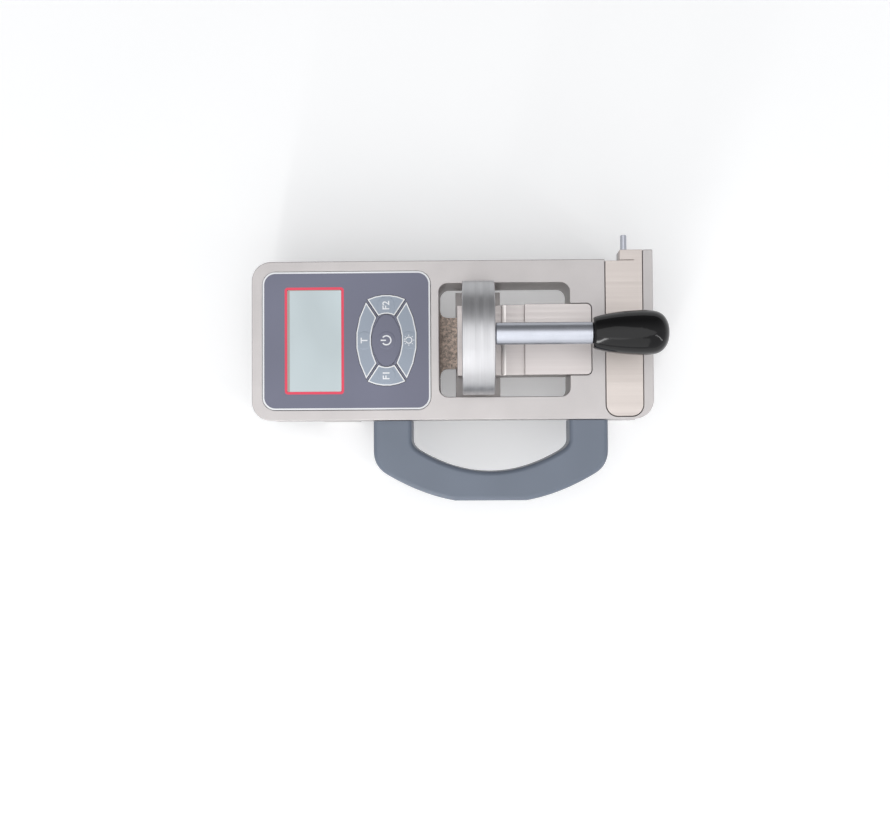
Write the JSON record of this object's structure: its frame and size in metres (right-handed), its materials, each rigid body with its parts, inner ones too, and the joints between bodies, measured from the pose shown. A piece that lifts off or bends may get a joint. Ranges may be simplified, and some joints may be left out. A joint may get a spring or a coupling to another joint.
{
  "type": "lashing tension meter",
  "caption": "Handheld meter that measures tension in a lashing strap: display and keys, cam lever, load beam, pressure foot, strap hooks and a hand grip.",
  "frame": {"origin": "under the middle of the whole meter, on the surface that its strap hooks rest on", "axes": "+X along the frame towards the knob, +Y away from the hand grip, +Z out of the display face"},
  "size_m": [0.2126, 0.1388, 0.0966],
  "materials": {
    "blasted_aluminium": "fine blasted and clear anodised",
    "brushed_aluminium": "brushed",
    "satin_steel": "satin",
    "dark_steel": "blackened",
    "bronze": "machined",
    "gauge_coat": "rough sealing coat",
    "gloss_black": "gloss",
    "slate_grip": "matt powder coat",
    "foil_grey": "printed foil",
    "key_blue": "printed foil",
    "black_plastic": "moulded",
    "circuit_board": "solder mask",
    "display_glass": "clear",
    "display_face": "reflective display",
    "cell_sleeve": "printed sleeve"
  },
  "bodies": {
    "root": {"frame": "blasted_aluminium", "end_strip": "blasted_aluminium", "load_beam": "blasted_aluminium", "strap_hook_left": "brushed_aluminium", "strap_hook_right": "brushed_aluminium", "strap_stop_pin": "satin_steel", "strap_bar_left": "satin_steel", "strap_bar_right": "satin_steel", "return_spring": "satin_steel", "data_port": "satin_steel", "key_domes": "satin_steel", "battery_contact_1": "satin_steel", "battery_contact_2": "satin_steel", "strip_screw_1": "dark_steel", "strip_screw_2": "dark_steel", "beam_screw_1": "dark_steel", "beam_screw_2": "dark_steel", "beam_screw_3": "dark_steel", "beam_screw_4": "dark_steel", "hook_screw_1": "dark_steel", "hook_screw_2": "dark_steel", "hook_screw_3": "dark_steel", "hook_screw_4": "dark_steel", "grip_screw_1": "dark_steel", "grip_screw_2": "dark_steel", "grip_screw_3": "dark_steel", "grip_screw_4": "dark_steel", "cover_screw_1": "dark_steel", "cover_screw_2": "dark_steel", "cover_screw_3": "dark_steel", "cover_screw_4": "dark_steel", "pivot_bush_1": "bronze", "pivot_bush_2": "bronze", "gauge_coat": "gauge_coat", "hand_grip": "slate_grip", "keypad_foil": "foil_grey", "keypad_carrier": "black_plastic", "rear_cover": "black_plastic", "circuit_board": "circuit_board", "display_lens": "display_glass", "display_module": "display_face", "battery_cell_1": "cell_sleeve", "battery_cell_2": "cell_sleeve"},
    "lever": {"lever_arch": "brushed_aluminium", "lever_rod": "satin_steel", "lever_knob": "gloss_black", "cam": "dark_steel", "pivot_shaft": "satin_steel"},
    "foot": {"pressure_foot": "brushed_aluminium", "plunger": "satin_steel", "guide_pin_1": "satin_steel", "guide_pin_2": "satin_steel"},
    "tare_button": {"key_tare": "key_blue"},
    "lamp_button": {"key_lamp": "key_blue"},
    "f2_button": {"key_f2": "key_blue"},
    "f1_button": {"key_f1": "key_blue"},
    "power_button": {"key_power": "foil_grey"},
    "door": {"battery_door": "black_plastic"}
  },
  "joints": [
    {"name": "lever_hinge", "type": "hinge", "parent": "root", "child": "lever", "pos_m": [0.01257, 0.0149, 0.0631], "axis": [0, -1, 0], "range_deg": [0, 90]},
    {"name": "foot_slide", "type": "slide", "parent": "root", "child": "foot", "axis": [0, 0, 1], "range_m": [0, 0.00602], "deforming": ["return_spring"]},
    {"name": "tare_press", "type": "slide", "parent": "root", "child": "tare_button", "axis": [0, 0, -1], "range_m": [0, 0.0004], "stiffness_N_per_m": 2000},
    {"name": "lamp_press", "type": "slide", "parent": "root", "child": "lamp_button", "axis": [0, 0, -1], "range_m": [0, 0.0004], "stiffness_N_per_m": 2000},
    {"name": "f2_press", "type": "slide", "parent": "root", "child": "f2_button", "axis": [0, 0, -1], "range_m": [0, 0.0004], "stiffness_N_per_m": 2000},
    {"name": "f1_press", "type": "slide", "parent": "root", "child": "f1_button", "axis": [0, 0, -1], "range_m": [0, 0.0004], "stiffness_N_per_m": 2000},
    {"name": "power_press", "type": "slide", "parent": "root", "child": "power_button", "axis": [0, 0, -1], "range_m": [0, 0.0004], "stiffness_N_per_m": 2000},
    {"name": "door_slide", "type": "slide", "parent": "root", "child": "door", "axis": [-1, 0, 0], "range_m": [0, 0.03]}
  ],
  "couplings": [
    {"joint": "foot_slide", "follows": "lever_hinge", "m_per_rad": 0.0038197}
  ]
}
